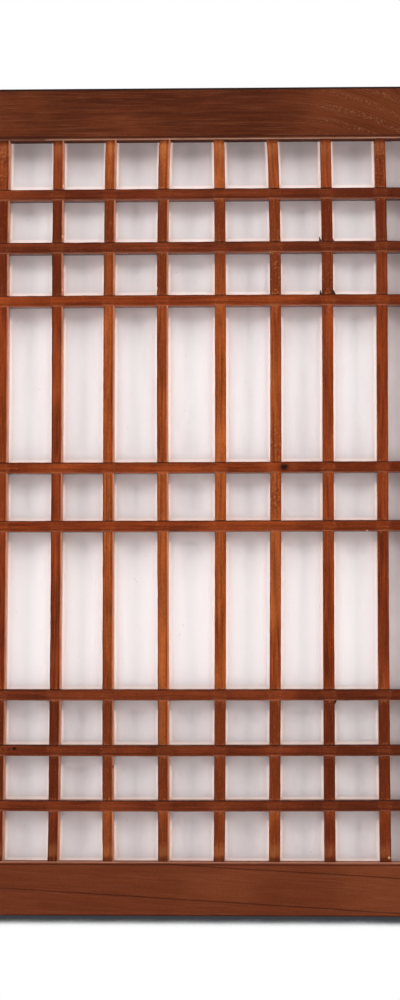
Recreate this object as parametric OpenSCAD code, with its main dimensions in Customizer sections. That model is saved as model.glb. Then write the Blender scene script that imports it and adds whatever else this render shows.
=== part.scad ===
// Lattice window: a pegged timber frame around a half lapped lattice with paper on its back
// Millimetres, +Z up, the lattice side faces -Y, origin at the bottom centre

/* [Frame] */
// Width of the two stiles
stile_w = 52; // [44:1:80]
// Height of the top and bottom rails
rail_h = 52; // [44:1:80]
// Thickness of the frame from front to back
frame_t = 30; // [27:1:45]
// Radius of the front edges of stiles and rails
frame_round = 2; // [0.5:0.25:4]

/* [Lattice] */
// Number of upright bars
columns = 8; // [3:1:11]
// Clear width of each column of cells
column_clear = 43; // [28:0.5:70]
// Number of cross bars in the top group and in the bottom group
group_bars = 3; // [2:1:5]
// Clear height of the row next to each rail
end_clear = 49.5; // [28:0.5:80]
// Clear height of the small rows inside a group
small_clear = 42.5; // [28:0.5:70]
// Clear height of the two tall rows
tall_clear = 154.5; // [60:0.5:240]
// Clear height of the row between the two middle bars
middle_clear = 47; // [28:0.5:80]
// Face width of every bar
bar_w = 11; // [9:0.5:16]
// Depth of every bar from its face to the paper
bar_d = 13; // [11:0.5:17]
// Radius of the front edges of the bars
bar_round = 1.5; // [0.5:0.25:2.5]
// How far the frame stands in front of the bars
frame_proud = 2; // [0.5:0.25:4]

/* [Joints] */
// Width of the stub tenon on each bar end
stub_w = 6; // [4:0.5:7]
// Depth of the stub tenon, front to back
stub_d = 7; // [4:0.5:8]
// Length of the stub tenon
stub_l = 14; // [6:0.5:18]
// Thickness of the rail tenons, front to back
tenon_t = 10; // [7:0.5:12]
// Shoulder between a rail's outer edge and its tenon
tenon_outer = 8; // [5:0.5:12]
// Shoulder between the paper rebate and a rail's tenon
tenon_inner = 2; // [1:0.5:6]
// Diameter of the corner pegs
peg_d = 6; // [4:0.5:9]
// Clearance on each side of laps, tenons and pegs
joint_gap = 0.1; // [0.05:0.05:0.25]

/* [Paper] */
// Thickness of the paper
paper_t = 0.3; // [0.2:0.1:0.6]
// How far the paper laps over the frame
paper_lap = 10; // [6:0.5:13]
// Gap between the paper's edge and the rebate's wall
paper_gap = 2; // [1:0.5:4]

/* [Hidden] */
$fn = 48;
small_rows = [for (i = [2:group_bars]) small_clear];
row_clears = concat([end_clear], small_rows, [tall_clear, middle_clear, tall_clear], small_rows, [end_clear]);
rows = len(row_clears) - 1;
opening_w = columns * bar_w + (columns + 1) * column_clear;
opening_h = rows * bar_w + total(row_clears, rows);
window_w = opening_w + 2 * stile_w;
window_h = opening_h + 2 * rail_h;
front_y = -frame_t / 2;
lattice_y = front_y + frame_proud;
lap_y = lattice_y + bar_d / 2;
paper_y = lattice_y + bar_d;
rebate_w = paper_lap + paper_gap;
tenon_h = rail_h - tenon_outer - tenon_inner - rebate_w;
peg_z = tenon_outer + tenon_h / 2;
peg_x = (opening_w + stile_w) / 2;
frame_colour = [0.38, 0.20, 0.13];
bar_colour = [0.58, 0.28, 0.14];
peg_colour = [0.33, 0.17, 0.11];
paper_colour = [0.93, 0.91, 0.91];

// Part to draw

// Sum of a list up to and including one index
function total(list, last) = last < 0 ? 0 : list[last] + total(list, last - 1);

// Middle of an upright bar, counted from the left
function upright_x(i) = -opening_w / 2 + i * column_clear + (i - 0.5) * bar_w;

// Middle of a cross bar, counted from the top
function cross_z(i) = window_h - rail_h - total(row_clears, i - 1) - (i - 0.5) * bar_w;

// Straight stock along +Z, front at y = 0, both front edges rounded
module stock(width, depth, radius, length) {
    linear_extrude(length) union() {
        translate([-width / 2, radius]) square([width, depth - radius]);
        translate([radius - width / 2, 0]) square([width - 2 * radius, depth]);
        for (side = [-1, 1]) translate([side * (width / 2 - radius), radius]) circle(radius);
    }
}

// Same stock laid along +X
module level_stock(width, depth, radius, length) {
    rotate([0, 90, 0]) stock(width, depth, radius, length);
}

// Stub tenon of an upright bar, or its mortise when gap is given, through both rails
module upright_stub(i, gap) {
    translate([upright_x(i) - stub_w / 2 - gap, lap_y - stub_d / 2 - gap, rail_h - stub_l - gap])
        cube([stub_w + 2 * gap, stub_d + 2 * gap, opening_h + 2 * stub_l + 2 * gap]);
}

// Stub tenon of a cross bar, or its mortise when gap is given, through both stiles
module cross_stub(i, gap) {
    translate([-opening_w / 2 - stub_l - gap, lap_y - stub_d / 2 - gap, cross_z(i) - stub_w / 2 - gap])
        cube([opening_w + 2 * stub_l + 2 * gap, stub_d + 2 * gap, stub_w + 2 * gap]);
}

// Tenons of the bottom rail, or their mortises when gap is given, through both stiles
module rail_tenons(gap) {
    translate([-window_w / 2, -tenon_t / 2 - gap, tenon_outer - gap])
        cube([window_w, tenon_t + 2 * gap, tenon_h + 2 * gap]);
}

// Four corner pegs, or their holes when gap is given
module pegs(gap) {
    for (x = [-peg_x, peg_x], z = [peg_z, window_h - peg_z])
        translate([x, front_y, z]) rotate([-90, 0, 0]) cylinder(d = peg_d + 2 * gap, h = frame_t);
}

// Room for the paper in the back of the frame
module paper_rebate() {
    translate([-opening_w / 2 - rebate_w, paper_y, rail_h - rebate_w])
        cube([opening_w + 2 * rebate_w, frame_t, opening_h + 2 * rebate_w]);
}

// Turns a piece of the bottom half upside down into the top half
module to_top() {
    translate([0, 0, window_h]) mirror([0, 0, 1]) children();
}

// Left stile with its mortises, peg holes and paper rebate
module stile() {
    difference() {
        translate([-(opening_w + stile_w) / 2, front_y, 0]) stock(stile_w, frame_t, frame_round, window_h);
        paper_rebate();
        rail_tenons(joint_gap);
        to_top() rail_tenons(joint_gap);
        for (i = [1:rows]) cross_stub(i, joint_gap);
        pegs(joint_gap);
    }
}

// Bottom rail with its tenons, bar mortises, peg holes and paper rebate
module rail() {
    difference() {
        union() {
            translate([-opening_w / 2, front_y, rail_h / 2])
                level_stock(rail_h, frame_t, frame_round, opening_w);
            rail_tenons(0);
        }
        paper_rebate();
        for (i = [1:columns]) upright_stub(i, joint_gap);
        pegs(joint_gap);
    }
}

module left_stile() {
    color(frame_colour) stile();
}

module right_stile() {
    color(frame_colour) mirror([1, 0, 0]) stile();
}

module top_rail() {
    color(frame_colour) to_top() rail();
}

module bottom_rail() {
    color(frame_colour) rail();
}

// Upright bar, its front half cut away where the cross bars pass
module upright_bar(i) {
    color(bar_colour) difference() {
        union() {
            translate([upright_x(i), lattice_y, rail_h]) stock(bar_w, bar_d, bar_round, opening_h);
            upright_stub(i, 0);
        }
        for (k = [1:rows])
            translate([upright_x(i) - bar_w, lattice_y - bar_d, cross_z(k) - bar_w / 2 - joint_gap])
                cube([2 * bar_w, bar_d + bar_d / 2, bar_w + 2 * joint_gap]);
    }
}

// Cross bar, its back half cut away where the upright bars pass
module cross_bar(i) {
    color(bar_colour) difference() {
        union() {
            translate([-opening_w / 2, lattice_y, cross_z(i)])
                level_stock(bar_w, bar_d, bar_round, opening_w);
            cross_stub(i, 0);
        }
        for (k = [1:columns])
            translate([upright_x(k) - bar_w / 2 - joint_gap, lap_y, cross_z(i) - bar_w])
                cube([bar_w + 2 * joint_gap, bar_d, 2 * bar_w]);
    }
}

module corner_pegs() {
    color(peg_colour) pegs(0);
}

// Paper pasted to the back of the bars and to the floor of the rebate
module paper_sheet() {
    color(paper_colour) translate([-opening_w / 2 - paper_lap, paper_y, rail_h - paper_lap])
        cube([opening_w + 2 * paper_lap, paper_t, opening_h + 2 * paper_lap]);
}

left_stile();
right_stile();
top_rail();
bottom_rail();
for (i = [1:columns]) upright_bar(i);
for (i = [1:rows]) cross_bar(i);
corner_pegs();
paper_sheet();
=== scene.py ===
import math
import random

import bmesh
import bpy
import numpy
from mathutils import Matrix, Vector, noise


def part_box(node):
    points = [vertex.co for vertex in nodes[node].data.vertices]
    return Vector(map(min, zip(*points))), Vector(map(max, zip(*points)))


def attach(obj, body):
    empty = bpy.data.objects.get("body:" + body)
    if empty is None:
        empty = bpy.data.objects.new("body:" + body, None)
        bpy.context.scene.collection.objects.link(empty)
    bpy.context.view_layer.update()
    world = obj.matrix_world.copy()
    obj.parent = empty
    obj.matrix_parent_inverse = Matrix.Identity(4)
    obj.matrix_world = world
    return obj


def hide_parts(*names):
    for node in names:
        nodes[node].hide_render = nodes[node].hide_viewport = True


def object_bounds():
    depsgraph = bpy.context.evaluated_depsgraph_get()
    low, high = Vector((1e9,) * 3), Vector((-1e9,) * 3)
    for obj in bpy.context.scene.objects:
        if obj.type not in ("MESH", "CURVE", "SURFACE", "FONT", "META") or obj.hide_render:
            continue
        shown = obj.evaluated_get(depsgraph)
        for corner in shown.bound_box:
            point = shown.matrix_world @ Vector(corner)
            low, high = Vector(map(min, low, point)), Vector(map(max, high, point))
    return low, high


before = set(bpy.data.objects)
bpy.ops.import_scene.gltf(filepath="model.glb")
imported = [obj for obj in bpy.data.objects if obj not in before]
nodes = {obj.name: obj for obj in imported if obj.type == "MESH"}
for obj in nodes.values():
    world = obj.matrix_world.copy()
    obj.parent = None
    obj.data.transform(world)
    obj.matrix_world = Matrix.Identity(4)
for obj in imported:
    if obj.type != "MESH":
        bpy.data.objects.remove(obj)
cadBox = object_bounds()
scene = bpy.context.scene
scene.view_settings.view_transform = "Standard"
mm = 0.001
same = 1e-6  # places nearer than this are one place
close = 1e-5  # the same for places read back from a mesh
print("frame loaded:", len(nodes), "nodes")


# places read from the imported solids

def middle(node):
    low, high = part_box(node)
    return (low + high) / 2


columnNames = ["upright_bar_%d" % i for i in range(1, 9)]
rowNames = ["cross_bar_%d" % i for i in range(1, 9)]
columnX = [middle(name).x for name in columnNames]
rowZ = [middle(name).z for name in rowNames]
barLow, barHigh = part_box(columnNames[0])
barWidth = barHigh.x - barLow.x
barDepth = barHigh.y - barLow.y
latticeFront = barLow.y
paperPlane = barHigh.y
lapPlane = (latticeFront + paperPlane) / 2
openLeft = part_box("left_stile")[1].x
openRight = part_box("right_stile")[0].x
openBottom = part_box("bottom_rail")[1].z
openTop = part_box("top_rail")[0].z
frameFront = cadBox[0].y


# camera, standing right of the middle and low, turned a little left and up

cameraSettings = {
    "place": (0.0672, latticeFront - 2.0614, 0.2618),
    "tiltUp": 3.97,
    "turnLeft": 1.63,
    "lens": 75.6,
    "sensor": 36.0,
}


def makeCamera(look):
    data = bpy.data.cameras.new("photoCamera")
    data.lens = look["lens"]
    data.sensor_width = look["sensor"]
    camera = bpy.data.objects.new("photoCamera", data)
    camera.location = look["place"]
    camera.rotation_euler = (math.radians(90 + look["tiltUp"]), 0, math.radians(look["turnLeft"]))
    scene.collection.objects.link(camera)
    scene.camera = camera


makeCamera(cameraSettings)


# small helpers for modelling by operators

def putAlone(piece):  # leave only this piece selected and active
    active = bpy.context.view_layer.objects.active
    if active is not None and active.mode != "OBJECT":
        bpy.ops.object.mode_set(mode="OBJECT")
    bpy.ops.object.select_all(action="DESELECT")
    if piece is not None:
        piece.select_set(True)
        bpy.context.view_layer.objects.active = piece


def startEdit(piece, mode):
    putAlone(piece)
    bpy.ops.object.mode_set(mode="EDIT")
    bpy.ops.mesh.select_mode(type=mode)


def endEdit():
    bpy.ops.object.mode_set(mode="OBJECT")


def pick(piece, kind, test):  # select edges or faces by their place
    work = bmesh.from_edit_mesh(piece.data)
    for group in (work.verts, work.edges, work.faces):
        for item in group:
            item.select = False
    for item in getattr(work, kind):
        if test(item):
            item.select_set(True)
    bmesh.update_edit_mesh(piece.data)


def addBox(name, low, high):
    putAlone(None)
    centre = [(a + b) / 2 for a, b in zip(low, high)]
    bpy.ops.mesh.primitive_cube_add(size=1, location=centre)
    box = bpy.context.object
    box.name = name
    box.scale = [b - a for a, b in zip(low, high)]
    bpy.ops.object.transform_apply()
    return box


def joinAll(pieces):
    putAlone(pieces[0])
    for piece in pieces:
        piece.select_set(True)
    bpy.ops.object.join()
    return pieces[0]


leastLeft = 0.8  # share of its faces that a piece keeps when a cut goes well


def carve(piece, cutter):  # take the cutter's shape out of the piece
    putAlone(piece)
    before = piece.data.copy()
    cut = piece.modifiers.new("carve", "BOOLEAN")
    cut.operation = "DIFFERENCE"
    cut.solver = "EXACT"
    cut.object = cutter
    bpy.ops.object.modifier_apply(modifier="carve")
    bpy.data.objects.remove(cutter, do_unlink=True)
    spare = before
    if len(piece.data.polygons) < leastLeft * len(before.polygons):  # a cut that went wrong is left out
        print("cut left out on", piece.name)
        spare = piece.data
        piece.data = before
    bpy.data.meshes.remove(spare)


def parallel(edge, axis):
    along = edge.verts[1].co - edge.verts[0].co
    return abs(along[axis]) > 0.999 * along.length


# lattice bars: one upright and one cross bar are modelled, then copied

barStock = {
    "step": 4.2 * mm,
    "crossCuts": 3,
    "arris": 1.5 * mm,
    "arrisSegments": 3,
    "arrisStop": 0.6 * mm,
    "stubWidth": 6 * mm,
    "stubDepth": 7 * mm,
    "stubLength": 14 * mm,
    "lapGap": 0.1 * mm,
}


def modelBar(name, length, laps, lapInFront):  # along Z, middle at the origin
    half = barWidth / 2
    bar = addBox(name, (-half, latticeFront, -length / 2), (half, paperPlane, length / 2))
    startEdit(bar, "EDGE")
    across = barStock["crossCuts"]
    for axis, cuts in enumerate((across, across, round(length / barStock["step"]))):
        pick(bar, "edges", lambda edge: parallel(edge, axis))
        bpy.ops.mesh.subdivide(number_cuts=cuts)

    keep = half + barStock["arrisStop"]
    for spot in laps:
        for side in (-1, 1):
            pick(bar, "faces", lambda face: True)
            bpy.ops.mesh.bisect(plane_co=(0, 0, spot + side * keep), plane_no=(0, 0, 1))

    def onArris(edge):
        spot = (edge.verts[0].co + edge.verts[1].co) / 2
        onEdge = abs(spot.y - latticeFront) < same and abs(abs(spot.x) - half) < same
        atLap = not lapInFront and min(abs(spot.z - lap) for lap in laps) < keep
        return parallel(edge, 2) and onEdge and not atLap

    pick(bar, "edges", onArris)
    bpy.ops.mesh.bevel(offset=barStock["arris"], segments=barStock["arrisSegments"], affect="EDGES")
    bpy.ops.mesh.select_mode(type="FACE")
    for end in (-1, 1):  # shoulder and stub tenon
        tip = (0, lapPlane, end * length / 2)
        stub = (0, 0, end * barStock["stubLength"])
        pick(bar, "faces", lambda face: all(abs(v.co.z - tip[2]) < same for v in face.verts))
        bpy.ops.mesh.extrude_region_move(TRANSFORM_OT_translate={"value": (0, 0, 0)})
        slim = (barStock["stubWidth"] / barWidth, barStock["stubDepth"] / barDepth, 1)
        bpy.ops.transform.resize(value=slim, center_override=tip)
        bpy.ops.mesh.extrude_region_move(TRANSFORM_OT_translate={"value": stub})
    endEdit()
    wide = half + barStock["lapGap"]
    cutters = []
    for spot in laps:
        if lapInFront:
            front, back = latticeFront - barDepth, lapPlane
        else:
            front, back = lapPlane, paperPlane + barDepth
        cutters.append(addBox("lapCutter", (-barWidth, front, spot - wide), (barWidth, back, spot + wide)))
    carve(bar, joinAll(cutters))
    return bar


def copyTo(master, name, place):
    putAlone(master)
    bpy.ops.object.duplicate(linked=False)
    piece = bpy.context.object
    piece.name = name
    piece.data.name = name
    piece.location = place
    bpy.ops.object.transform_apply()
    return piece


centreX = (openLeft + openRight) / 2
centreZ = (openBottom + openTop) / 2
uprightMaster = modelBar("uprightMaster", openTop - openBottom, [z - centreZ for z in rowZ], True)
crossMaster = modelBar("crossMaster", openRight - openLeft, [x - centreX for x in columnX], False)
putAlone(crossMaster)
crossMaster.rotation_euler = (0, math.radians(90), 0)
bpy.ops.object.transform_apply()
uprights = [copyTo(uprightMaster, "upright%d" % (i + 1), (x, 0, centreZ)) for i, x in enumerate(columnX)]
crossBars = [copyTo(crossMaster, "crossBar%d" % (i + 1), (centreX, 0, z)) for i, z in enumerate(rowZ)]
for master in (uprightMaster, crossMaster):
    bpy.data.objects.remove(master, do_unlink=True)
print("bars modelled:", len(uprights), "uprights and", len(crossBars), "cross bars")


# hand work on the bars: uneven faces, softened arrises, chips, burrs and a slight stray from the true line

handWork = {
    "seed": 11,
    "unevenSize": 16 * mm,
    "unevenDepth": 0.55 * mm,
    "ripple": 5 * mm,
    "rippleDepth": 0.25 * mm,
    "wornFade": (0.5 * mm, 2 * mm),
    "smoothAngle": math.radians(35),
    "plainChips": 2,
    "plainRadius": (0.6 * mm, 1.2 * mm),
    "plainBeside": (0.5, 5),
    "chipStretch": 1.9,
    "chipRough": 0.25,
    "chipOut": 0.25,
    "chipForward": 0.2,
    "burr": (3.0 * mm, 4.0 * mm, 5.4 * mm),
    "burrSetback": 2.0 * mm,
    "burrTip": (0.1, 0.5, 1),
    "burrMark": {"above": 1.5 * mm, "radius": 3.2, "side": 1.25},
    "hold": 7 * mm,
    # stray at the middle of each bar, and how much more it is towards the top or the right, in millimetres
    "uprightStray": ((1.7, 0.5), (2.0, 0.5), (-0.9, -0.1), (-1.3, -1.5),
                     (1.7, 0.5), (2.1, 1.6), (-0.3, 0.3), (-0.7, 0.5)),
    "crossStray": ((0.2, 0.3), (0.3, 0.2), (0.5, 0.2), (-0.4, 0.5),
                   (-0.2, 0.4), (-0.2, 0.3), (-1.0, 0.5), (-1.1, 0.6)),
    # shift of each upright's top end in millimetres, and the share of its length where the lean starts
    "topLean": (2.2, 2.2, 0.7, 0.6, 0.1, -1.0, -1.6, -2.0),
    "leanFrom": 0.84,
    # for each bar: place along it and radius in millimetres, side (right or upper is 1, the face 0), tone
    "chips": {
        "upright2": ((719.0, 1.2, 1, "bare"), (668.0, 1.3, 1, "bare"), (614.0, 1.0, 1, "bare")),
        "upright3": ((145.0, 0.9, 1, "deep"),),
        "upright4": ((615.5, 1.0, -1, "bare"), (597.5, 1.1, 1, "bare"), (206.0, 0.9, 1, "bare")),
        "upright6": ((652.0, 1.5, -1, "bare"), (598.5, 1.4, -1, "bare"), (459.0, 0.9, -1, "deep"),
                     (466.5, 0.9, 1, "deep"), (455.0, 0.8, 1, "deep"), (418.0, 0.8, 1, "deep"),
                     (400.5, 0.9, -1, "deep")),
        "upright7": ((599.0, 1.2, 1, "bare"), (467.5, 1.0, 1, "bare")),
        "upright8": ((56.5, 1.2, 0.6, "bare"),),
        "crossBar4": ((89.3, 3.5, 0, "deep"),),
        "crossBar5": ((173.0, 1.2, -1, "bare"),),
        "crossBar6": ((152.3, 1.1, -1, "deep"),),
        "crossBar7": ((-174.0, 1.4, 0.3, "deep"),),
    },
    # for each bar: side, cross bar, above or below it, share of the full size, how far the tip leans out
    "burrs": {
        "upright7": ((-1, 1, 1, 0.9, 0.95), (1, 1, 1, 0.5, 0.1), (-1, 2, 1, 0.9, 0.6),
                     (1, 2, 1, 0.9, 0.05), (1, 5, -1, 0.7, 0.2), (-1, 1, -1, 0.5, 0.1)),
    },
}
dice = random.Random(handWork["seed"])
marks = {bar.name: [] for bar in uprights + crossBars}
centres = {bar.name: (x, centreZ) for bar, x in zip(uprights, columnX)}
centres.update({bar.name: (centreX, z) for bar, z in zip(crossBars, rowZ)})


def cloudTexture(name, size):
    texture = bpy.data.textures.new(name, type="CLOUDS")
    texture.noise_scale = size
    texture.noise_depth = 2
    return texture


planeMarks = cloudTexture("planeMarks", handWork["unevenSize"])
fineMarks = cloudTexture("fineMarks", handWork["ripple"])


def workByHand(bar, axis):
    reach = bar.vertex_groups.new(name="worn")
    limits = ((openLeft, openRight), None, (openBottom, openTop))[axis]
    behind, before = handWork["wornFade"]
    for vertex in bar.data.vertices:
        inside = limits[0] + close < vertex.co[axis] < limits[1] - close
        weight = (lapPlane - behind - vertex.co.y) / (lapPlane - latticeFront - before)
        reach.add([vertex.index], max(0.0, min(1.0, weight)) if inside else 0.0, "REPLACE")
    putAlone(bar)
    for texture, depth in ((planeMarks, handWork["unevenDepth"]), (fineMarks, handWork["rippleDepth"])):
        uneven = bar.modifiers.new("uneven", "DISPLACE")
        uneven.texture = texture
        uneven.texture_coords = "LOCAL"
        uneven.strength = depth
        uneven.mid_level = 0.5
        uneven.vertex_group = "worn"
        bpy.ops.object.modifier_apply(modifier="uneven")
    bar.vertex_groups.clear()


def chipAt(spot, radius, axis, seed):
    putAlone(None)
    bpy.ops.mesh.primitive_ico_sphere_add(subdivisions=2, radius=radius, location=spot)
    chip = bpy.context.object
    chip.scale = [handWork["chipStretch"] if i == axis else 1.0 for i in range(3)]
    bpy.ops.object.transform_apply()
    startEdit(chip, "VERT")
    bpy.ops.mesh.select_all(action="SELECT")
    bpy.ops.transform.vertex_random(offset=radius * handWork["chipRough"], seed=seed)
    endEdit()
    return chip


def chipBar(bar, axis, along, radius, side):
    x, z = centres[bar.name]
    spot = [x, latticeFront - radius * handWork["chipForward"], z]
    spot[axis] = along
    spot[2 - axis] += side * (barWidth / 2 + radius * handWork["chipOut"])
    carve(bar, chipAt(spot, radius, axis, dice.randrange(1000)))


def addBurr(bar, side, z, way, share, lean):  # a torn splinter left in the corner of a crossing
    wide, deep, tall = [share * size for size in handWork["burr"]]
    x = centres[bar.name][0] + side * barWidth / 2
    tip = z + way * tall
    front = latticeFront + handWork["burrSetback"]
    box = addBox("burr", (min(x, x + side * wide), front, min(z, tip)),
                 (max(x, x + side * wide), front + deep, max(z, tip)))
    startEdit(box, "FACE")
    pick(box, "faces", lambda face: all(abs(v.co.z - tip) < same for v in face.verts))
    towards = (x + side * wide * lean, front + deep / 2, tip)
    bpy.ops.transform.resize(value=handWork["burrTip"], center_override=towards)
    endEdit()
    joinAll([bar, box])


def drift(places, along, ends, across, sides, lines, strays):  # how far straying bars have moved
    part = numpy.clip((places[:, along] - ends[0]) / (ends[1] - ends[0]), 0, 1)
    bow = numpy.sqrt(numpy.maximum(numpy.sin(math.pi * part), 0))
    hold = handWork["hold"]
    order = sorted(zip(lines, strays))
    total = numpy.zeros(len(places))
    for i, (line, stray) in enumerate(order):
        start = order[i - 1][0] + hold if i > 0 else sides[0]
        stop = order[i + 1][0] - hold if i + 1 < len(order) else sides[1]
        rise = numpy.clip((places[:, across] - start) / (line - hold - start), 0, 1)
        fall = numpy.clip((stop - places[:, across]) / (stop - line - hold), 0, 1)
        total += rise * fall * bow * (stray[0] + stray[1] * (2 * part - 1)) * mm
    return total


def leanAt(places):  # the lean of the uprights' top ends, from which their tenons are kept
    part = (places[:, 2] - openBottom) / (openTop - openBottom)
    rise = numpy.clip((part - handWork["leanFrom"]) / (1 - handWork["leanFrom"]), 0, 1)
    lean = numpy.interp(places[:, 0], [openLeft] + columnX + [openRight], [0, *handWork["topLean"], 0])
    toLine = numpy.min([abs(places[:, 0] - x) for x in columnX], axis=0)
    toMiddle = abs(places[:, 1] - lapPlane)
    play = 0.2 * mm
    inTenon = (toLine < barStock["stubWidth"] / 2 + play) & (toMiddle < barStock["stubDepth"] / 2 + play)
    stays = (places[:, 2] > openTop + close) | (inTenon & (places[:, 2] > openTop - close))
    return numpy.where(stays, 0, rise * lean * mm)


def strayAt(places):  # the shift of the lattice at these places
    shift = numpy.zeros_like(places)
    high, wide = (openBottom, openTop), (openLeft, openRight)
    shift[:, 0] = drift(places, 2, high, 0, wide, columnX, handWork["uprightStray"]) + leanAt(places)
    shift[:, 2] = drift(places, 0, wide, 2, high, rowZ, handWork["crossStray"])
    return shift


def readPlaces(mesh):
    flat = numpy.empty(len(mesh.vertices) * 3, dtype=numpy.float32)
    mesh.vertices.foreach_get("co", flat)
    return flat.reshape(-1, 3)


def keepStock(mesh, places):  # the true place is kept on the mesh, so that colours follow the bars
    stock = mesh.attributes.new("stockPlace", "FLOAT_VECTOR", "POINT")
    stock.data.foreach_set("vector", numpy.ascontiguousarray(places, dtype=numpy.float32).ravel())


def letStray(bar):
    places = readPlaces(bar.data)
    keepStock(bar.data, places)
    bar.data.vertices.foreach_set("co", (places + strayAt(places)).ravel())
    bar.data.update()


for bars, axis, crossings in ((uprights, 2, rowZ), (crossBars, 0, columnX)):
    for bar in bars:
        workByHand(bar, axis)
        for count in range(handWork["plainChips"]):
            radius = dice.uniform(*handWork["plainRadius"])
            beside = dice.choice((-1, 1)) * (barWidth / 2 + dice.uniform(*handWork["plainBeside"]) * mm)
            chipBar(bar, axis, dice.choice(crossings) + beside, radius, dice.choice((-1, 1)))
        for along, radius, side, tone in handWork["chips"].get(bar.name, ()):
            marks[bar.name].append((along * mm, radius, side, tone))
            if side != 0:
                chipBar(bar, axis, along * mm, radius * mm, side)
        for side, row, way, share, lean in handWork["burrs"].get(bar.name, ()):
            corner = rowZ[row] + way * barWidth / 2
            addBurr(bar, side, corner, way, share, lean)
            stain = handWork["burrMark"]
            marks[bar.name].append((corner + way * stain["above"], stain["radius"] * share,
                                    side * stain["side"], "deep"))
for bar, node in zip(uprights + crossBars, columnNames + rowNames):
    letStray(bar)
    putAlone(bar)
    bpy.ops.object.shade_smooth_by_angle(angle=handWork["smoothAngle"])
    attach(bar, "root")
    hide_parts(node)
print("bars worked by hand")


# paper: one slack sheet, pasted down along every bar and round the frame's rebate

paperSettings = {
    "grid": 3.6 * mm,
    "thickness": 0.3 * mm,
    "pasteFade": 13 * mm,
    "sag": 0.75 * mm,
    "billow": 0.5 * mm,
    "billowRate": (14, 6),
    "folds": ((17 * mm, 150 * mm, 0.42 * mm), (7 * mm, 60 * mm, 0.16 * mm)),
    "rawEdge": 0.6 * mm,
    "rawRate": 40,
    "smoothAngle": math.radians(40),
}


def smooth(value):
    value = max(0.0, min(1.0, value))
    return value * value * (3 - 2 * value)


def clearOf(value, lines):  # distance from the nearest bar's edge, or from the frame
    return min(abs(value - line) for line in lines) - barWidth / 2


def wave(x, layer, z):
    return noise.noise(Vector((x, layer, z)))


def modelPaper(look):
    low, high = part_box("paper_sheet")
    wide, tall = high.x - low.x, high.z - low.z
    putAlone(None)
    bpy.ops.mesh.primitive_grid_add(
        x_subdivisions=round(wide / look["grid"]), y_subdivisions=round(tall / look["grid"]), size=1,
        location=((low.x + high.x) / 2, paperPlane, (low.z + high.z) / 2))
    sheet = bpy.context.object
    sheet.name = "paper"
    sheet.data.name = "paper"
    sheet.scale = (wide, tall, 1)
    sheet.rotation_euler = (math.radians(90), 0, 0)
    bpy.ops.object.transform_apply()
    fade, rawRate = look["pasteFade"], look["rawRate"]
    rateX, rateZ = look["billowRate"]
    edgeX = columnX + [openLeft - barWidth / 2, openRight + barWidth / 2]
    edgeZ = rowZ + [openBottom - barWidth / 2, openTop + barWidth / 2]
    for vertex in sheet.data.vertices:
        x, z = vertex.co.x, vertex.co.z
        inside = openLeft < x < openRight and openBottom < z < openTop
        if inside:
            free = smooth(clearOf(x, edgeX) / fade) * smooth(clearOf(z, edgeZ) / fade)
            slack = look["sag"] + look["billow"] * wave(x * rateX, 3.0, z * rateZ)
            for across, along, depth in look["folds"]:
                slack += depth * wave(x / across, along * 900, z / along)
            vertex.co.y += free * slack
        onRim = min(x - low.x, high.x - x, z - low.z, high.z - z) < close
        if onRim:
            vertex.co.x += look["rawEdge"] * wave(x * rawRate, 7.0, z * rawRate)
            vertex.co.z += look["rawEdge"] * wave(x * rawRate, 17.0, z * rawRate)
    putAlone(sheet)
    body = sheet.modifiers.new("body", "SOLIDIFY")
    body.thickness = look["thickness"]
    body.offset = -1
    bpy.ops.object.modifier_apply(modifier="body")
    places = readPlaces(sheet.data)
    keepStock(sheet.data, places - strayAt(places))
    bpy.ops.object.shade_smooth_by_angle(angle=look["smoothAngle"])
    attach(sheet, "root")
    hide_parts("paper_sheet")
    return sheet


paper = modelPaper(paperSettings)
print("paper pasted:", len(paper.data.polygons), "faces")


# shader node helpers

def newNode(tree, kind, inputs=None, **settings):
    made = tree.nodes.new(kind)
    for key, value in settings.items():
        setattr(made, key, value)
    for key, value in (inputs or {}).items():
        if isinstance(value, bpy.types.NodeSocket):
            tree.links.new(value, made.inputs[key])
        else:
            made.inputs[key].default_value = value
    return made


def fedNode(kind, inputs, **settings):  # a node in the tree that its first socket comes from
    tree = next(value.id_data for value in inputs.values() if isinstance(value, bpy.types.NodeSocket))
    return newNode(tree, kind, inputs, **settings)


def maths(operation, first, second=0.0):
    return fedNode("ShaderNodeMath", {0: first, 1: second}, operation=operation).outputs[0]


def multiplyAdd(first, second, third):
    inputs = {0: first, 1: second, 2: third}
    return fedNode("ShaderNodeMath", inputs, operation="MULTIPLY_ADD").outputs[0]


def vectorMaths(operation, first, second):
    return fedNode("ShaderNodeVectorMath", {0: first, 1: second}, operation=operation).outputs[0]


def ramp(value, start, end, low=0.0, high=1.0):  # smooth step from one value to another
    inputs = {0: value, 1: start, 2: end, 3: low, 4: high}
    return fedNode("ShaderNodeMapRange", inputs, interpolation_type="SMOOTHSTEP").outputs[0]


def blendColours(share, first, second, way="MIX"):
    inputs = {0: share, 6: first, 7: second}
    return fedNode("ShaderNodeMix", inputs, data_type="RGBA", blend_type=way).outputs[2]


def noiseOn(vector, stretch, detail=2.0, rough=0.5):
    scaled = vectorMaths("MULTIPLY", vector, stretch)
    inputs = {"Vector": scaled, "Scale": 1.0, "Detail": detail, "Roughness": rough}
    return fedNode("ShaderNodeTexNoise", inputs).outputs[0]


def newMaterial(name):
    material = bpy.data.materials.new(name)
    material.use_nodes = True
    return material, material.node_tree, material.node_tree.nodes["Principled BSDF"]


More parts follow.
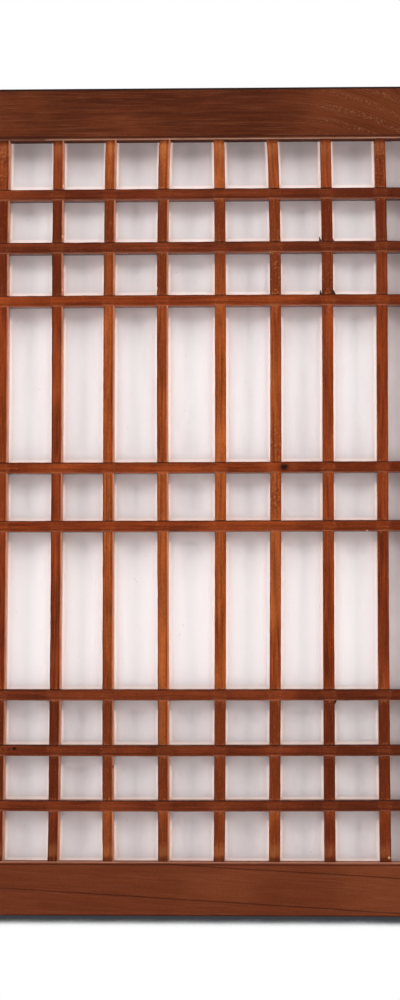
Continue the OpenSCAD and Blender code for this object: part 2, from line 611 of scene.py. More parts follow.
def newGroup(name, vectors, numbers, results):  # numbers are given with their usual values
    tree = bpy.data.node_groups.new(name, "ShaderNodeTree")
    for label in vectors:
        tree.interface.new_socket(label, in_out="INPUT", socket_type="NodeSocketVector")
    for label, value in numbers.items():
        socket = tree.interface.new_socket(label, in_out="INPUT", socket_type="NodeSocketFloat")
        socket.default_value = value
    for label in results:
        tree.interface.new_socket(label, in_out="OUTPUT", socket_type="NodeSocketFloat")
    return tree, tree.nodes.new("NodeGroupInput").outputs, tree.nodes.new("NodeGroupOutput").inputs


def useGroup(group, inputs):
    return fedNode("ShaderNodeGroup", inputs, node_tree=group).outputs


# shared effects, all in millimetres with X along the grain, Y into the piece and Z across it

def makeGrain():
    tree, entry, result = newGroup(
        "woodGrain", ["Vector"],
        {"Ring Spacing": 9.0, "Ring Width": 0.38, "Wander": 14.0, "Slope": 0.02, "Arch Start": 0.0,
         "Arch Bend": 0.0, "Ring Solid": 0.0},
        ["Tone", "Ring", "Pore", "Fleck", "Arch Fleck", "Patch", "Speckle", "Streak", "Height"])
    along, deep, wide = fedNode("ShaderNodeSeparateXYZ", {0: entry["Vector"]}).outputs
    past = maths("MAXIMUM", maths("SUBTRACT", along, entry["Arch Start"]))
    arch = maths("MULTIPLY", maths("MULTIPLY", past, past), entry["Arch Bend"])
    sloped = maths("ADD", wide, maths("MULTIPLY", along, entry["Slope"]))
    bent = maths("ADD", sloped, arch)
    vector = newNode(tree, "ShaderNodeCombineXYZ", {0: along, 1: deep, 2: bent}).outputs[0]
    across = multiplyAdd(deep, 0.45, bent)
    slow = maths("SUBTRACT", noiseOn(vector, (0.0035, 0.02, 0.02)), 0.5)
    swayed = maths("ADD", across, maths("MULTIPLY", slow, entry["Wander"]))
    saw = maths("FRACT", maths("DIVIDE", swayed, entry["Ring Spacing"]))
    crest = 0.93  # where in the ring its line is darkest
    fall = maths("MINIMUM", multiplyAdd(entry["Ring Width"], 0.6, crest), 1.0)
    rise = maths("SUBTRACT", crest, entry["Ring Width"])
    line = maths("MULTIPLY", ramp(saw, rise, crest), ramp(saw, fall, crest))
    uneven = ramp(noiseOn(vector, (0.011, 0.09, 0.09)), 0.38, 0.66)
    ring = maths("MULTIPLY", line, maths("MAXIMUM", uneven, entry["Ring Solid"]))
    tone = noiseOn(vector, (0.018, 0.42, 0.42), 5.0, 0.62)
    pore = ramp(noiseOn(vector, (0.16, 3.1, 3.1), 1.0), 0.60, 0.70)
    fleck = ramp(noiseOn(vector, (0.23, 1.3, 1.3), 2.0), 0.64, 0.74)
    coarse = ramp(noiseOn(vector, (0.55, 0.9, 0.9), 2.0), 0.52, 0.66)
    band = ramp(maths("ABSOLUTE", maths("SUBTRACT", saw, 0.5)), 0.27, 0.08)
    gathered = maths("MULTIPLY", maths("MULTIPLY", coarse, band), ramp(past, 5.0, 60.0))
    patch = noiseOn(vector, (0.012, 0.02, 0.02), 2.0)
    speckle = noiseOn(vector, (0.5, 1.4, 1.4), 3.0, 0.6)
    streak = noiseOn(vector, (0.035, 1.1, 1.1), 2.0)
    height = maths("SUBTRACT", maths("MULTIPLY", tone, 0.5), maths("MULTIPLY", pore, 0.6))
    height = maths("SUBTRACT", height, maths("MULTIPLY", ring, 0.25))
    values = (tone, ring, pore, fleck, gathered, patch, speckle, streak, height)
    for label, value in zip(result.keys(), values):
        tree.links.new(value, result[label])
    return tree


def makeEdges():  # masks along the two front arrises of a length of wood, inside them and on its sides
    tree, entry, result = newGroup(
        "arrisEdges", ["Vector"],
        {"Half Width": 5.5, "Face": -6.5, "Upper Reach": 1.3, "Lower Reach": 1.3},
        ["Upper", "Lower", "Upper Inner", "Lower Inner", "Upper Side", "Lower Side", "Broken", "Depth"])
    split = fedNode("ShaderNodeSeparateXYZ", {0: entry["Vector"]}).outputs
    behind = maths("SUBTRACT", split[1], entry["Face"])
    depth = maths("ABSOLUTE", behind)
    onFace = ramp(depth, 1.2, 0.4)
    onSide = ramp(depth, 0.8, 2.0)
    for label, way in (("Upper", "SUBTRACT"), ("Lower", "ADD")):
        inset = maths("ABSOLUTE", maths(way, entry["Half Width"], split[2]))
        away = multiplyAdd(inset, 2.0, maths("MULTIPLY", depth, 0.5))
        near = maths("DIVIDE", away, entry[label + " Reach"])
        arris = maths("MULTIPLY", ramp(near, 1.6, 0.5), ramp(depth, 3.4, 2.2))
        tree.links.new(arris, result[label])
        inner = ramp(maths("ABSOLUTE", maths("SUBTRACT", inset, 2.6)), 1.1, 0.3)
        tree.links.new(maths("MULTIPLY", inner, onFace), result[label + " Inner"])
        side = ramp(inset, 1.1, 0.4)
        tree.links.new(maths("MULTIPLY", side, onSide), result[label + " Side"])
    broken = ramp(noiseOn(entry["Vector"], (0.045, 0.3, 0.3), 4.0, 0.65), 0.40, 0.66)
    tree.links.new(broken, result["Broken"])
    tree.links.new(behind, result["Depth"])
    return tree


def makeMark():  # a knot, a dark spot or a chip's bare wood
    tree, entry, result = newGroup("mark", ["Vector", "Centre"], {"Radius": 4.0}, ["Heart", "Rim"])
    away = vectorMaths("SUBTRACT", entry["Vector"], entry["Centre"])
    flat = vectorMaths("MULTIPLY", away, (0.75, 0.6, 1.0))
    length = newNode(tree, "ShaderNodeVectorMath", {0: flat}, operation="LENGTH").outputs["Value"]
    ragged = maths("SUBTRACT", noiseOn(entry["Vector"], (0.6, 0.6, 0.6), 3.0), 0.5)
    reach = maths("DIVIDE", multiplyAdd(ragged, 1.6, length), entry["Radius"])
    tree.links.new(ramp(reach, 1.25, 0.4), result["Heart"])
    tree.links.new(ramp(reach, 2.2, 0.9), result["Rim"])
    return tree


def makeZones():  # along a bar: the small cells' stretch, the ends, the very tips, a painted glint near the tips and every crossing
    tree, entry, result = newGroup(
        "barZones", ["Vector"],
        {"Small From": 186.0, "Small To": 312.0, "Half Length": 356.0, "Pitch": 54.0},
        ["Small", "Far End", "Near End", "Tip", "Painted Glint", "Crossing"])
    along = fedNode("ShaderNodeSeparateXYZ", {0: entry["Vector"]}).outputs[0]
    fromMiddle = maths("ABSOLUTE", along)
    ragged = maths("SUBTRACT", noiseOn(entry["Vector"], (0.05, 0.15, 0.15), 3.0), 0.5)
    out = multiplyAdd(ragged, 34.0, fromMiddle)
    begin = maths("SUBTRACT", out, entry["Small From"])
    finish = maths("SUBTRACT", out, entry["Small To"])
    small = maths("MULTIPLY", ramp(begin, -14.0, 12.0), ramp(finish, 14.0, -12.0))
    tip = multiplyAdd(ragged, 6.0, maths("SUBTRACT", fromMiddle, entry["Half Length"]))
    half = maths("MULTIPLY", entry["Pitch"], 0.5)
    toNode = maths("ABSOLUTE", maths("SUBTRACT", maths("PINGPONG", along, half), half))
    crossing = ramp(multiplyAdd(ragged, 16.0, toNode), 9.0, 2.0)
    paintedGlint = maths("MULTIPLY", ramp(tip, -22.0, -11.0), ramp(tip, -3.0, -7.0))
    ends = ramp(finish, 0.0, 20.0)
    farEnd = maths("MULTIPLY", ends, maths("GREATER_THAN", along, 0.0))
    nearEnd = maths("MULTIPLY", ends, maths("LESS_THAN", along, 0.0))
    atTip = ramp(tip, -6.0, -1.0)
    for label, value in zip(result.keys(), (small, farEnd, nearEnd, atTip, paintedGlint, crossing)):
        tree.links.new(value, result[label])
    return tree


def makeFigure():  # rough, wavy figure over a stretch of a bar
    tree, entry, result = newGroup("roughFigure", ["Vector"], {"From": 0.0, "To": 50.0}, ["Light", "Dark"])
    along = fedNode("ShaderNodeSeparateXYZ", {0: entry["Vector"]}).outputs[0]
    start = maths("SUBTRACT", along, entry["From"])
    stop = maths("SUBTRACT", entry["To"], along)
    here = maths("MULTIPLY", ramp(start, -6.0, 10.0), ramp(stop, -6.0, 10.0))
    turn = {"Vector": entry["Vector"], "Rotation": (0, math.radians(35), 0)}
    turned = newNode(tree, "ShaderNodeMapping", turn).outputs[0]
    figure = noiseOn(turned, (0.60, 0.5, 0.34), 3.0, 0.6)
    tree.links.new(maths("MULTIPLY", ramp(figure, 0.56, 0.66), here), result["Light"])
    tree.links.new(maths("MULTIPLY", ramp(figure, 0.46, 0.36), here), result["Dark"])
    return tree


woodGrain = makeGrain()
barZones = makeZones()
arrisEdges = makeEdges()
mark = makeMark()
roughFigure = makeFigure()
print("shared effects made")


# wood finishes

finishes = {
    # the two rail finishes are darker and lighter copies of one: the top rail's darker copy is painted
    # shade, the lighter copy on the bottom rail and the stiles is painted light
    "shadedTopRail": {"light": (0.112, 0.027, 0.0090, 1), "middle": (0.078, 0.017, 0.0055, 1),
                "dark": (0.044, 0.0095, 0.0035, 1), "worn": (0.26, 0.125, 0.065, 1),
                "line": (0.010, 0.004, 0.003, 1), "rough": 0.50},
    "litLowRail": {"light": (0.165, 0.042, 0.0150, 1), "middle": (0.128, 0.030, 0.0105, 1),
                "dark": (0.104, 0.0245, 0.0088, 1), "worn": (0.30, 0.145, 0.075, 1),
                "line": (0.022, 0.006, 0.004, 1), "rough": 0.50},
    "amber": {"light": (0.385, 0.098, 0.0220, 1), "middle": (0.275, 0.055, 0.0112, 1),
              "dark": (0.106, 0.0185, 0.0050, 1), "worn": (0.38, 0.140, 0.047, 1),
              "line": (0.030, 0.008, 0.004, 1), "rough": 0.48},
    "russet": {"light": (0.285, 0.055, 0.0125, 1), "middle": (0.202, 0.032, 0.0069, 1),
               "dark": (0.077, 0.012, 0.0034, 1), "worn": (0.34, 0.115, 0.041, 1),
               "line": (0.022, 0.006, 0.003, 1), "rough": 0.50},
    "dark": {"light": (0.200, 0.040, 0.0118, 1), "middle": (0.138, 0.024, 0.0075, 1),
             "dark": (0.065, 0.0115, 0.0038, 1), "worn": (0.28, 0.092, 0.034, 1),
             "line": (0.012, 0.004, 0.003, 1), "rough": 0.52},
}
# the light tone for the bars' sides and some arrises is painted light
tones = {"bare": (0.60, 0.40, 0.22, 1), "pale": (0.50, 0.21, 0.125, 1), "edge": (0.46, 0.25, 0.17, 1),
         # near-black tone for the frame's outer arrises
         "deep": (0.014, 0.006, 0.003, 1), "soot": (0.006, 0.004, 0.004, 1)}
gloss = 0.03
lacquer = {"from": 0.55, "full": 0.9, "onBars": 0.85, "onFrame": 0.1, "rough": 0.2}
relief = {"Strength": 0.35, "Distance": 0.35 * mm}
arrisLine = {"edge": 0.6, "pale": 0.25}
barRings = {"spacing": (3.5, 7), "width": 0.38, "wander": (6, 12), "slope": 0.02}
# how strongly each sign of age and growth shows, and the painted shade at the back of the bars' sides, and
# how far each reaches in millimetres
woodShow = {"ring": 0.75, "pore": 0.45, "darkSpeckle": 0.35, "lightSpeckle": 0.25, "fleck": 0.35,
            "darkFigure": 0.7, "lightFigure": 0.65, "archLight": 0.4, "archFleck": 0.32, "markRim": 0.5,
            "paintedRecessShade": 0.7, "roughSpread": 0.22}
woodReach = {"stainFade": 14.0, "archLight": (60.0, 150.0), "joint": (3.2, 0.2), "paintedRecessShade": (9.0, 12.3)}


def placeSpread():  # its own stretch of grain for each piece
    return dice.uniform(-3000, 3000), dice.uniform(-300, 300), dice.uniform(-300, 300)


def ringsFor(kind):
    return (dice.uniform(*kind["spacing"]), kind["width"], dice.uniform(*kind["wander"]),
            dice.uniform(-kind["slope"], kind["slope"]))


def woodMaterial(name, look, piece):
    material, tree, shader = newMaterial(name)
    if piece["onBar"]:
        place = newNode(tree, "ShaderNodeAttribute", attribute_name="stockPlace").outputs["Vector"]
    else:
        place = newNode(tree, "ShaderNodeTexCoord").outputs["Object"]
    turn = math.radians(-90) if piece["grainAlongZ"] else 0.0
    inputs = {"Vector": place, "Location": piece["centre"], "Rotation": (0, turn, 0), "Scale": (mm, mm, mm)}
    centred = newNode(tree, "ShaderNodeMapping", inputs, vector_type="TEXTURE").outputs[0]
    shifted = vectorMaths("ADD", centred, piece["spread"])
    along = fedNode("ShaderNodeSeparateXYZ", {0: centred}).outputs[0]
    spacing, width, wander, slope = piece["rings"]
    archStart, archBend = piece.get("arch", (0.0, 0.0))
    grain = useGroup(woodGrain, {
        "Vector": shifted, "Ring Spacing": spacing, "Ring Width": width, "Wander": wander, "Slope": slope,
        "Arch Start": archStart, "Arch Bend": archBend, "Ring Solid": piece.get("ringSolid", 0.0)})
    edges = useGroup(arrisEdges, {
        "Vector": centred, "Half Width": piece["halfWidth"], "Face": piece["face"],
        "Upper Reach": piece["Upper"][3], "Lower Reach": piece["Lower"][3]})

    def tint(colour, mask, share, tone):
        return blendColours(maths("MULTIPLY", mask, share), colour, tone)

    colour = blendColours(ramp(grain["Tone"], 0.32, 0.66), look["dark"], look["middle"])
    colour = blendColours(ramp(grain["Patch"], 0.42, 0.72, 0.0, 0.75), colour, look["light"])
    if "zones" in piece:
        zones = piece["zones"]
        zone = useGroup(barZones, {
            "Vector": centred, "Small From": zones["smallFrom"], "Small To": zones["smallTo"],
            "Half Length": zones["halfLength"]})
        for label, (share, tone) in zones["tones"].items():
            colour = tint(colour, zone[label], share, look[tone])
    fade = woodReach["stainFade"]
    for start, stop, share, tone in piece.get("stains", ()):
        stain = maths("MULTIPLY", ramp(along, start - fade, start + fade),
                      ramp(along, stop + fade, stop - fade))
        colour = tint(colour, stain, share, look[tone])
    for start, stop in piece.get("figure", ()):
        rough = useGroup(roughFigure, {"Vector": centred, "From": start, "To": stop})
        colour = tint(colour, rough["Dark"], woodShow["darkFigure"], look["dark"])
        colour = tint(colour, rough["Light"], woodShow["lightFigure"], look["worn"])
    colour = tint(colour, grain["Ring"], woodShow["ring"], look[piece.get("ringTone", "dark")])
    colour = tint(colour, grain["Pore"], woodShow["pore"], look["dark"])
    colour = tint(colour, ramp(grain["Speckle"], 0.48, 0.34), woodShow["darkSpeckle"], look["line"])
    colour = tint(colour, ramp(grain["Speckle"], 0.55, 0.70), woodShow["lightSpeckle"], look["light"])
    colour = tint(colour, grain["Fleck"], piece.get("fleck", woodShow["fleck"]), look["worn"])
    if archBend:
        arch = ramp(along, *woodReach["archLight"])
        colour = tint(colour, arch, woodShow["archLight"], look["light"])
        colour = tint(colour, grain["Arch Fleck"], woodShow["archFleck"], look["worn"])
    streakLight, streakDark = piece.get("streaks", (0.14, 0.35))
    colour = tint(colour, ramp(grain["Streak"], 0.55, 0.70), streakLight, look["worn"])
    colour = tint(colour, ramp(grain["Streak"], 0.47, 0.33), streakDark, look["dark"])
    if "joints" in piece:  # worn corners beside every lap
        toJoint = 1000.0
        for spot in piece["joints"]:
            gap = maths("ABSOLUTE", maths("SUBTRACT", along, spot))
            toJoint = maths("MINIMUM", gap, toJoint)
        beside = maths("ABSOLUTE", maths("SUBTRACT", toJoint, piece["halfWidth"]))
        near = ramp(beside, *woodReach["joint"])
        wear = maths("MULTIPLY", near, ramp(grain["Speckle"], 0.50, 0.64))
        colour = tint(colour, wear, piece["jointWear"], look["worn"])
    if piece["onBar"]:  # sides lightened with painted light, and darkened with painted shade towards the back where they meet the paper
        for label, share in zip(("Upper Side", "Lower Side"), piece["sides"]):
            colour = tint(colour, edges[label], share, tones["pale"])
        paintedRecessShade = ramp(edges["Depth"], *woodReach["paintedRecessShade"])
        colour = tint(colour, paintedRecessShade, woodShow["paintedRecessShade"], look["line"])
    for label in ("Upper", "Lower"):
        tone, share, solid, reach = piece[label]
        if tone in arrisLine:  # a dark line runs beside the arris painted with light
            colour = tint(colour, edges[label + " Inner"], arrisLine[tone], look["line"])
        broken = multiplyAdd(edges["Broken"], 1.0 - solid, solid)
        if tone == "edge" and "edgeFrom" in piece:  # the painted highlight is fainter towards the left
            start = piece["edgeFrom"]
            broken = maths("MULTIPLY", broken, ramp(along, start - 3.0, start + 2.0, 0.3, 1.0))
        worn = maths("MULTIPLY", edges[label], broken)
        colour = tint(colour, worn, share, tones.get(tone, look.get(tone)))
    for spot, radius, tone in piece.get("marks", ()):
        here = useGroup(mark, {"Vector": centred, "Centre": spot, "Radius": radius})
        if tone == "deep":
            colour = tint(colour, here["Rim"], woodShow["markRim"], look["dark"])
        colour = blendColours(here["Heart"], colour, tones[tone])
    tree.links.new(colour, shader.inputs["Base Color"])
    spread = woodShow["roughSpread"]
    rough = multiplyAdd(grain["Tone"], spread, look["rough"] - spread / 2)
    tree.links.new(rough, shader.inputs["Roughness"])
    shader.inputs["Specular IOR Level"].default_value = gloss
    sideOn = newNode(tree, "ShaderNodeLayerWeight", {"Blend": 0.5}).outputs["Facing"]
    most = lacquer["onBars"] if piece["onBar"] else lacquer["onFrame"]
    coat = ramp(sideOn, lacquer["from"], lacquer["full"], 0.0, most)
    tree.links.new(coat, shader.inputs["Coat Weight"])
    shader.inputs["Coat Roughness"].default_value = lacquer["rough"]
    bump = newNode(tree, "ShaderNodeBump", {**relief, "Height": grain["Height"]})
    tree.links.new(bump.outputs[0], shader.inputs["Normal"])
    return material


def dress(piece, material):
    if len(piece.material_slots) == 0:
        piece.data.materials.append(material)
    for slotHere in piece.material_slots:
        slotHere.material = material


uprightLook = {
    "finish": ("russet", "russet", "amber", "amber", "amber", "amber", "russet", "russet"),
    "zones": {"smallFrom": (rowZ[2] - centreZ) / mm, "smallTo": (rowZ[0] - centreZ) / mm,
              "halfLength": (openTop - centreZ) / mm,
              "tones": {"Small": (0.85, "dark"), "Far End": (0.10, "worn"), "Near End": (0.60, "dark"),
                        # a painted glint lightens the uprights just short of their tips
                        "Tip": (0.55, "line"), "Painted Glint": (0.3, "worn")}},
    # stretches of lighter or darker wood: from and to in millimetres, share and tone
    "stains": {"upright3": ((612, 650, 0.35, "light"), (392, 436, 0.35, "light")),
               "upright4": ((160, 436, 0.45, "light"),),
               "upright5": ((300, 640, 0.28, "light"),),
               "upright6": ((290, 380, 0.3, "light"),),
               "upright7": ((450, 520, 0.25, "light"), (612, 650, 0.2, "light")),
               "upright8": ((612, 650, 0.35, "light"), (225, 292, 0.3, "dark"))},
    "jointWear": 0.55,
    # painted light on the bars' two sides
    "sides": (0.55, 0.65),
    # tone, share, solidity and reach of the left arris and the right one
    # on the left half, the right arris carries painted light
    "leftHalf": {"Upper": ("line", 0.75, 0.6, 2.3), "Lower": ("pale", 0.85, 0.55, 2.5)},
    "rightHalf": {"Upper": ("line", 0.5, 0.4, 1.5), "Lower": ("line", 0.4, 0.3, 1.5)},
    "figure": {"upright6": ((587, 676), (390, 479)), "upright8": ((705, 755),), "upright7": ((587, 636),),
               "upright1": ((715, 760),)},
}
crossLook = {
    "finish": ("dark", "dark", "russet", "russet", "russet", "dark", "dark", "dark"),
    "stains": {"crossBar1": ((-40, 240, 0.3, "dark"),),
               "crossBar2": ((-75, -38, 0.35, "dark"),),
               "crossBar3": ((20, 110, 0.3, "light"), (-180, -145, 0.25, "dark")),
               "crossBar4": ((88, 124, 0.25, "dark"),),
               "crossBar5": ((-126, -88, 0.3, "dark"),),
               "crossBar6": ((-75, 16, 0.45, "light"),),
               "crossBar7": ((-20, 16, 0.4, "light"),),
               "crossBar8": ((30, 72, 0.35, "dark"),)},
    "zones": {"smallFrom": 900.0, "smallTo": 95.0, "halfLength": 2000.0,
              "tones": {"Far End": (0.55, "dark"), "Crossing": (0.3, "light")}},
    "jointWear": 0.3,
    # painted light on the bars' two sides
    "sides": (0.1, 0.12),
    # the lower arris carries painted light
    "arrises": {"Upper": ("line", 0.85, 0.75, 2.4), "Lower": ("pale", 0.35, 0.5, 1.6)},
}
barBody = {"onBar": True, "halfWidth": barWidth / mm / 2, "face": -barDepth / mm / 2}
for bar, finish, x in zip(uprights, uprightLook["finish"], columnX):
    spots = [(((along - centreZ) / mm, barBody["face"], -side * barWidth / mm / 2), radius, tone)
             for along, radius, side, tone in marks[bar.name]]
    stretches = [(start - centreZ / mm, stop - centreZ / mm)
                 for start, stop in uprightLook["figure"].get(bar.name, ())]
    stains = [(start - centreZ / mm, stop - centreZ / mm, share, tone)
              for start, stop, share, tone in uprightLook["stains"].get(bar.name, ())]
    dress(bar, woodMaterial(bar.name + "Wood", finishes[finish], {
        **barBody, "grainAlongZ": True, "centre": (x, lapPlane, centreZ), "spread": placeSpread(),
        "rings": ringsFor(barRings), "zones": uprightLook["zones"], "marks": spots, "figure": stretches,
        "stains": stains, "joints": [(z - centreZ) / mm for z in rowZ],
        "jointWear": uprightLook["jointWear"], "sides": uprightLook["sides"],
        **(uprightLook["leftHalf"] if x < centreX else uprightLook["rightHalf"])}))
for bar, finish, z in zip(crossBars, crossLook["finish"], rowZ):
    spots = [(((along - centreX) / mm, barBody["face"], side * barWidth / mm / 2), radius, tone)
             for along, radius, side, tone in marks[bar.name]]
    dress(bar, woodMaterial(bar.name + "Wood", finishes[finish], {
        **barBody, "grainAlongZ": False, "centre": (centreX, lapPlane, z), "spread": placeSpread(),
        "rings": ringsFor(barRings), "zones": crossLook["zones"], "marks": spots,
        "stains": crossLook["stains"].get(bar.name, ()), "joints": [(x - centreX) / mm for x in columnX],
        "jointWear": crossLook["jointWear"], "sides": crossLook["sides"], **crossLook["arrises"]}))

# the frame's inner arrises carry a painted highlight (the edge tone), fainter towards the left on the top
# rail
frameLook = {
    "left_stile": {"finish": "litLowRail", "grainAlongZ": True, "spread": (900, 40, 11),
                   "rings": (12.0, 0.3, 20.0, 0.03), "Upper": ("soot", 0.5, 0.6, 1.7),
                   "Lower": ("edge", 0.7, 0.5, 1.6)},
    "right_stile": {"finish": "litLowRail", "grainAlongZ": True, "spread": (-1700, -60, 5),
                    "rings": (13.0, 0.3, 20.0, -0.03), "Upper": ("edge", 0.7, 0.5, 1.6),
                    "Lower": ("soot", 0.5, 0.6, 1.7)},
    "top_rail": {"finish": "shadedTopRail", "grainAlongZ": False, "spread": (0, 30, 7),
                 "rings": (15.0, 0.3, 8.0, 0.0), "arch": (95.0, 0.0023), "fleck": 0.07,
                 "edgeFrom": -145.0, "streaks": (0.09, 0.4),
                 "Upper": ("soot", 1.0, 1.0, 4.2), "Lower": ("edge", 0.9, 0.75, 1.7)},
    "bottom_rail": {"finish": "litLowRail", "grainAlongZ": False, "spread": (500, 0, 17.35),
                    "rings": (32.5, 0.045, 5.0, 0.06), "ringTone": "line", "ringSolid": 0.9, "fleck": 0.05,
                    "streaks": (0.08, 0.36),
                    "Upper": ("edge", 0.5, 0.6, 1.9), "Lower": ("line", 0.5, 0.5, 2.0)},
}
for node, look in frameLook.items():
    low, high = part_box(node)
    half = ((high.x - low.x) if look["grainAlongZ"] else (high.z - low.z)) / mm / 2
    dress(nodes[node], woodMaterial(node + "Wood", finishes[look["finish"]], {
        **look, "onBar": False, "centre": middle(node), "halfWidth": half, "face": frameFront / mm}))
dress(nodes["corner_pegs"], woodMaterial("pegWood", finishes["dark"], {
    "onBar": False, "grainAlongZ": False, "centre": (0, 0, 0), "halfWidth": 3.0, "face": frameFront / mm,
    "spread": (40, 10, 5), "rings": (4.0, 0.3, 6.0, 0.0), "Upper": ("dark", 0.0, 0.0, 1.0),
    "Lower": ("dark", 0.0, 0.0, 1.0)}))
print("wood finished")


# paper finish

paperLook = {
    "white": (0.85, 0.838, 0.845, 1),
    "warm": (0.82, 0.785, 0.795, 1),
    "fibre": (0.92, 0.915, 0.915, 1),
    # painted light: a whiter tone for the paper in the lower tall cells
    "paintedLowLight": (0.92, 0.908, 0.912, 1),
    # painted shade: a greyer tone for the paper towards the frame's sides and top
    "paintedFrameShade": (0.48, 0.430, 0.430, 1),
    "speck": (0.25, 0.20, 0.18, 1),
    # painted light: a brighter tone for the paper's rim along the bars, with glow as its emission
    "pasted": (0.97, 0.955, 0.95, 1),
    # painted shade: a darker tone for the paper just under each cross bar
    "paintedUnderShade": (0.68, 0.61, 0.60, 1),
    "glow": (0.20, 0.10, 0.06, 1),
    "paintedFrameShadeSides": (56.0, 30.0),
    "paintedFrameShadeTop": (50.0, 4.0),
    "paintedRimSides": (3.1, 0.7),
    "paintedRimFoot": (3.4, 0.9),
    "paintedUnderShadeReach": (16.0, 1.0),
    "paintedUnderShadeShare": 0.6,
    "paintedLowLightAbove": (185.0, 240.0),
    "paintedLowLightBelow": (430.0, 350.0),
    "raggedEdge": 14.0,
    "paintedFrameShadeShares": (1.0, 0.85),
    "fibreShare": 0.5,
    "rimAwayFromSides": (40.0, 56.0),
    "rough": 0.85,
    "relief": {"Strength": 0.2, "Distance": 0.15 * mm},
}


def paperMaterial(name, look, facesRoom):
    material, tree, shader = newMaterial(name)
    place = newNode(tree, "ShaderNodeAttribute", attribute_name="stockPlace").outputs["Vector"]
    inMm = vectorMaths("MULTIPLY", place, (1000, 1000, 1000))
    split = fedNode("ShaderNodeSeparateXYZ", {0: inMm})
    cloud = noiseOn(inMm, (0.05, 0.05, 0.012), 3.0)
    fibre = ramp(noiseOn(inMm, (1.2, 0.4, 0.11), 4.0, 0.7), 0.55, 0.75)
    colour = blendColours(ramp(cloud, 0.4, 0.7), look["white"], look["warm"])
    colour = blendColours(maths("MULTIPLY", fibre, look["fibreShare"]), colour, look["fibre"])
    ragged = maths("SUBTRACT", noiseOn(inMm, (0.02, 0.02, 0.02), 3.0), 0.5)
    fromSide = maths("SUBTRACT", openRight / mm, maths("ABSOLUTE", split.outputs[0]))
    fromTop = maths("SUBTRACT", openTop / mm, split.outputs[2])
    if facesRoom:  # painted light and shade: lighter in the lower tall cells, darker towards the frame and just under each cross bar, and a bright rim that glows along the bars' edges
        # painted light: the paper is whiter in the lower tall cells
        low = maths("MULTIPLY", ramp(split.outputs[2], *look["paintedLowLightBelow"]),
                    ramp(split.outputs[2], *look["paintedLowLightAbove"]))
        colour = blendColours(low, colour, look["paintedLowLight"])
        sideShare, topShare = look["paintedFrameShadeShares"]
        # painted shade: the paper darkens towards the sides and the top of the opening
        for distance, (none, most), share in ((fromSide, look["paintedFrameShadeSides"], sideShare),
                                              (fromTop, look["paintedFrameShadeTop"], topShare)):
            paintedFrameShade = ramp(multiplyAdd(ragged, look["raggedEdge"], distance), none, most, 0.0, share)
            colour = blendColours(paintedFrameShade, colour, look["paintedFrameShade"])
        halfPitch = (columnX[1] - columnX[0]) / mm / 2
        fromFirst = maths("SUBTRACT", split.outputs[0], columnX[0] / mm)
        beside = maths("SUBTRACT", maths("PINGPONG", fromFirst, halfPitch), barWidth / mm / 2)
        # painted light: a bright rim on the paper along each bar's edge
        paste = ramp(beside, *look["paintedRimSides"])
        paintedUnderShade = 0.0
        eyeY, eyeZ = cameraSettings["place"][1:]
        for z in rowZ + [openBottom - barWidth / 2]:
            hidden = max(0.0, barDepth * (z - eyeZ) / (latticeFront - eyeY))  # paper that the bar hides from the camera, so the painted rim light starts where the paper comes into view
            foot = (z + barWidth / 2 + hidden) / mm
            above = maths("ABSOLUTE", maths("SUBTRACT", split.outputs[2], foot))
            paste = maths("MAXIMUM", ramp(above, *look["paintedRimFoot"]), paste)
            underside = (z - barWidth / 2) / mm
            under = maths("ABSOLUTE", maths("SUBTRACT", split.outputs[2], underside))
            paintedUnderShade = maths("MAXIMUM", ramp(under, *look["paintedUnderShadeReach"]), paintedUnderShade)
        # painted shade: the paper darkens just under each cross bar
        paintedUnderShadeMix = maths("MULTIPLY", paintedUnderShade, look["paintedUnderShadeShare"])
        colour = blendColours(paintedUnderShadeMix, colour, look["paintedUnderShade"], "MULTIPLY")
        rimAllowed = maths("MULTIPLY", ramp(fromSide, *look["rimAwayFromSides"]), ramp(paintedUnderShade, 0.6, 0.1))
        rim = maths("MULTIPLY", paste, rimAllowed)
        colour = blendColours(rim, colour, look["pasted"])
        # the rim glows by emission, though it is no lamp: painted light
        tree.links.new(blendColours(rim, (0, 0, 0, 1), look["glow"]), shader.inputs["Emission Color"])
        shader.inputs["Emission Strength"].default_value = 1.0
    speck = ramp(noiseOn(inMm, (0.55, 0.55, 0.55), 1.0), 0.80, 0.84)
    colour = blendColours(speck, colour, look["speck"])
    tree.links.new(colour, shader.inputs["Base Color"])
    shader.inputs["Roughness"].default_value = look["rough"]
    bump = newNode(tree, "ShaderNodeBump", {**look["relief"], "Height": fibre})
    tree.links.new(bump.outputs[0], shader.inputs["Normal"])
    return material


dress(paper, paperMaterial("paperFront", paperLook, True))
paper.data.materials.append(paperMaterial("paperBack", paperLook, False))
for face in paper.data.polygons:
    face.material_index = 1 if face.normal.y > 0 else 0
print("paper finished")


# stage and light

stageSettings = {
    "floorSize": 12.0,
    "floorColour": (0.86, 0.86, 0.86, 1),
    "floorRough": 0.9,
    "contactSamples": 16,
    "contactReach": 0.12,
    "contactEdge": (0.72, 0.90),
    "paintedContactShadow": (0.045, 0.047, 0.053, 1),
    "ambient": 0.13,
    "ambientTint": (1.0, 0.80, 0.81, 1),
    # name, place, size, watts and colour
    "lamps": (
        ("topLamp", (0.15, -0.95, 2.5), (2.6, 0.8), 32.0, (0.98, 1.0, 1.0)),
        ("highLamp", (0.0, -0.5, 2.4), (2.6, 0.4), 16.0, (0.98, 1.0, 1.0)),
        ("foreLamp", (0.0, -1.8, 2.6), (2.6, 0.8), 26.0, (1.0, 0.99, 0.99)),
        ("leftLamp", (-2.3, -0.85, 0.36), (0.9, 1.6), 56.0, (1.0, 0.97, 0.97)),
        ("rightLamp", (2.3, -0.85, 0.36), (0.9, 1.6), 40.0, (1.0, 0.97, 0.97)),
        ("backLamp", (0.6, 2.6, 1.6), (2.0, 1.2), 40.0, (1.0, 1.0, 1.0)),
    ),
}


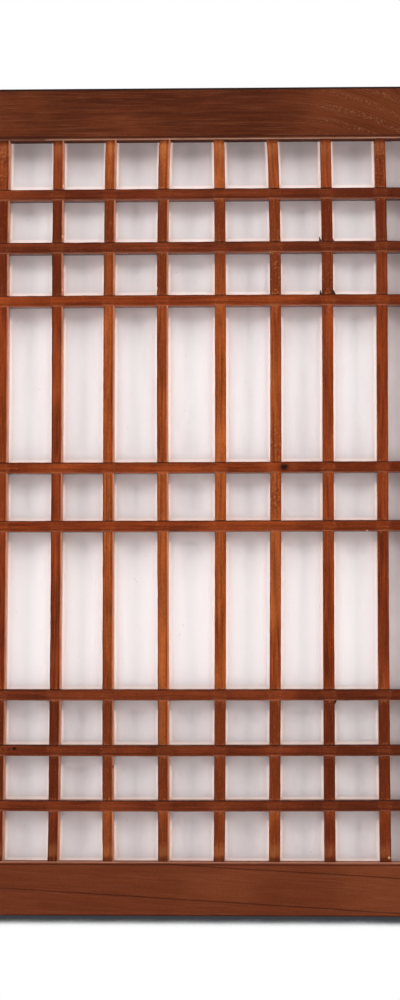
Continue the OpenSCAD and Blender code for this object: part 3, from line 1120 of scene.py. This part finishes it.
def seenDirectly(tree):  # 1 for what the camera sees straight, in a mirror or through glass
    path = newNode(tree, "ShaderNodeLightPath")
    seen = maths("MAXIMUM", path.outputs["Is Camera Ray"], path.outputs["Is Glossy Ray"])
    return maths("MAXIMUM", seen, path.outputs["Is Transmission Ray"])


def makeStage(look):
    putAlone(None)
    bpy.ops.mesh.primitive_plane_add(size=look["floorSize"], location=(0, 0, cadBox[0].z))
    floor = bpy.context.object
    floor.name = "floor"
    material, tree, diffuse = newMaterial("floorWhite")
    diffuse.inputs["Base Color"].default_value = look["floorColour"]
    diffuse.inputs["Roughness"].default_value = look["floorRough"]
    # the floor as the camera sees it is white, darkened by ambient occlusion at the window's foot: a
    # painted contact shadow
    hollow = newNode(tree, "ShaderNodeAmbientOcclusion", {"Distance": look["contactReach"]})
    hollow.samples = look["contactSamples"]
    contact = ramp(hollow.outputs["AO"], *look["contactEdge"])
    shade = blendColours(contact, look["paintedContactShadow"], (1, 1, 1, 1))
    glow = newNode(tree, "ShaderNodeEmission", {"Color": shade})
    shaders = {0: seenDirectly(tree), 1: diffuse.outputs[0], 2: glow.outputs[0]}
    mix = newNode(tree, "ShaderNodeMixShader", shaders)
    tree.links.new(mix.outputs[0], tree.nodes["Material Output"].inputs[0])
    dress(floor, material)
    world = bpy.data.worlds.new("studio")
    scene.world = world
    world.use_nodes = True
    tree = world.node_tree
    back = tree.nodes["Background"]
    seen = seenDirectly(tree)
    level = multiplyAdd(seen, 1.0 - look["ambient"], look["ambient"])
    tree.links.new(blendColours(seen, look["ambientTint"], (1, 1, 1, 1)), back.inputs["Color"])
    tree.links.new(level, back.inputs["Strength"])
    aim = Vector((0, 0, centreZ))
    for name, place, size, power, tint in look["lamps"]:
        data = bpy.data.lights.new(name, "AREA")
        data.color = tint
        data.shape = "RECTANGLE"
        data.size, data.size_y = size
        data.energy = power
        lamp = bpy.data.objects.new(name, data)
        lamp.location = place
        lamp.rotation_euler = (aim - Vector(place)).to_track_quat("-Z", "Y").to_euler()
        scene.collection.objects.link(lamp)


makeStage(stageSettings)
print("stage lit")
